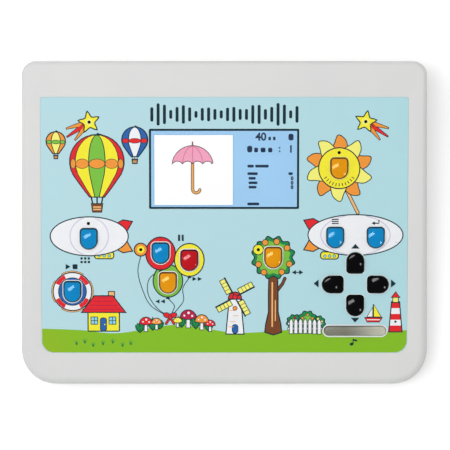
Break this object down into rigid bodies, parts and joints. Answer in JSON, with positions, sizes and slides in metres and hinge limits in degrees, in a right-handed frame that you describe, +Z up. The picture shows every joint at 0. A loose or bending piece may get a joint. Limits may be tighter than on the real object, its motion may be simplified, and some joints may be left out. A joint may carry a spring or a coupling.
{
  "type": "audiometer",
  "caption": "Desk-top screening audiometer for children: wedge housing, printed sky-and-grass panel, colour display, domed keys, tone bar, rear earphone sockets.",
  "frame": {"origin": "on the table, below the middle of the housing", "axes": "+X to the right as seen from the front, +Y to the rear where the sockets are, +Z up"},
  "size_m": [0.27, 0.215, 0.0584],
  "materials": {
    "housing": "light warm grey moulded ABS, fine spark-eroded grain",
    "overlay": "printed polyester foil, sky blue above and grass green below",
    "window": "clear polished acrylic window",
    "foam": "black foam gasket",
    "bright_steel": "zinc-plated steel",
    "display_cell": "liquid crystal cell, lit pale blue",
    "diffuser": "white light guide",
    "flex": "amber polyimide flex",
    "key_blue": "glossy blue domed key",
    "key_orange": "glossy orange domed key",
    "key_red": "glossy red domed key",
    "key_black": "glossy black domed key",
    "tone_silver": "silver-painted bar",
    "silicone": "grey silicone keypad mat",
    "circuit_board": "green glass-epoxy board",
    "smoked": "smoked acrylic light pipe",
    "led": "clear lamp body",
    "ribbon": "grey flat ribbon cable",
    "chip": "black epoxy chip body",
    "core": "laminated core and copper winding",
    "relay_white": "white relay can",
    "capacitor": "blue sleeved capacitor",
    "header": "white nylon header",
    "foot_rubber": "black rubber",
    "black_plastic": "black moulded plastic",
    "rocker": "glossy black rocker",
    "cell_sleeve": "blue sleeved cell"
  },
  "bodies": {
    "housing": {"top_case": "housing", "bottom_case": "housing", "front_overlay": "overlay", "display_window": "window", "display_gasket": "foam", "display_bezel": "bright_steel", "board_screws": "bright_steel", "case_screws": "bright_steel", "jack_nuts": "bright_steel", "battery_contacts": "bright_steel", "usb_socket": "bright_steel", "display_glass": "display_cell", "display_backlight": "diffuser", "display_ribbon": "flex", "keypad_mat": "silicone", "keypad_board": "circuit_board", "main_board": "circuit_board", "light_pipes": "smoked", "indicator_leds": "led", "keypad_ribbon": "ribbon", "processor_chips": "chip", "output_transformers": "core", "relays": "relay_white", "capacitors": "capacitor", "board_headers": "header", "rubber_feet": "foot_rubber", "rear_panel": "black_plastic", "left_phone_jack": "black_plastic", "right_phone_jack": "black_plastic", "response_jack": "black_plastic", "power_inlet": "black_plastic", "power_switch": "black_plastic", "battery_cells": "cell_sleeve"},
    "key_group": {"key_group": "key_blue"},
    "key_start_stop": {"key_start_stop": "key_blue"},
    "key_pause": {"key_pause": "key_blue"},
    "key_forward": {"key_forward": "key_red"},
    "key_rewind": {"key_rewind": "key_orange"},
    "key_left_right": {"key_left_right": "key_orange"},
    "key_audiometer": {"key_audiometer": "key_orange"},
    "key_menu": {"key_menu": "key_blue"},
    "key_enter": {"key_enter": "key_blue"},
    "key_up": {"key_up": "key_black"},
    "key_left": {"key_left": "key_black"},
    "key_right": {"key_right": "key_black"},
    "key_down": {"key_down": "key_black"},
    "tone_bar": {"tone_bar": "tone_silver"},
    "power_rocker": {"power_rocker": "rocker"},
    "battery_door": {"battery_door": "housing"}
  },
  "joints": [
    {"name": "key_group_press", "type": "slide", "parent": "housing", "child": "key_group", "axis": [0, 0.1478, -0.989], "range_m": [0, 0.001], "stiffness_N_per_m": 500},
    {"name": "key_start_stop_press", "type": "slide", "parent": "housing", "child": "key_start_stop", "axis": [0, 0.1478, -0.989], "range_m": [0, 0.001], "stiffness_N_per_m": 500},
    {"name": "key_pause_press", "type": "slide", "parent": "housing", "child": "key_pause", "axis": [0, 0.1478, -0.989], "range_m": [0, 0.001], "stiffness_N_per_m": 500},
    {"name": "key_forward_press", "type": "slide", "parent": "housing", "child": "key_forward", "axis": [0, 0.1478, -0.989], "range_m": [0, 0.001], "stiffness_N_per_m": 500},
    {"name": "key_rewind_press", "type": "slide", "parent": "housing", "child": "key_rewind", "axis": [0, 0.1478, -0.989], "range_m": [0, 0.001], "stiffness_N_per_m": 500},
    {"name": "key_left_right_press", "type": "slide", "parent": "housing", "child": "key_left_right", "axis": [0, 0.1478, -0.989], "range_m": [0, 0.001], "stiffness_N_per_m": 500},
    {"name": "key_audiometer_press", "type": "slide", "parent": "housing", "child": "key_audiometer", "axis": [0, 0.1478, -0.989], "range_m": [0, 0.001], "stiffness_N_per_m": 500},
    {"name": "key_menu_press", "type": "slide", "parent": "housing", "child": "key_menu", "axis": [0, 0.1478, -0.989], "range_m": [0, 0.001], "stiffness_N_per_m": 500},
    {"name": "key_enter_press", "type": "slide", "parent": "housing", "child": "key_enter", "axis": [0, 0.1478, -0.989], "range_m": [0, 0.001], "stiffness_N_per_m": 500},
    {"name": "key_up_press", "type": "slide", "parent": "housing", "child": "key_up", "axis": [0, 0.1478, -0.989], "range_m": [0, 0.001], "stiffness_N_per_m": 500},
    {"name": "key_left_press", "type": "slide", "parent": "housing", "child": "key_left", "axis": [0, 0.1478, -0.989], "range_m": [0, 0.001], "stiffness_N_per_m": 500},
    {"name": "key_right_press", "type": "slide", "parent": "housing", "child": "key_right", "axis": [0, 0.1478, -0.989], "range_m": [0, 0.001], "stiffness_N_per_m": 500},
    {"name": "key_down_press", "type": "slide", "parent": "housing", "child": "key_down", "axis": [0, 0.1478, -0.989], "range_m": [0, 0.001], "stiffness_N_per_m": 500},
    {"name": "tone_bar_press", "type": "slide", "parent": "housing", "child": "tone_bar", "axis": [0, 0.1478, -0.989], "range_m": [0, 0.001], "stiffness_N_per_m": 500},
    {"name": "power_rocker_tilt", "type": "hinge", "parent": "housing", "child": "power_rocker", "pos_m": [0.07, 0.09984, 0.03], "axis": [0, 0, 1], "range_deg": [-20, 0]},
    {"name": "battery_door_lift_off", "type": "slide", "parent": "housing", "child": "battery_door", "axis": [0, 0, -1], "range_m": [0, 0.03]}
  ]
}
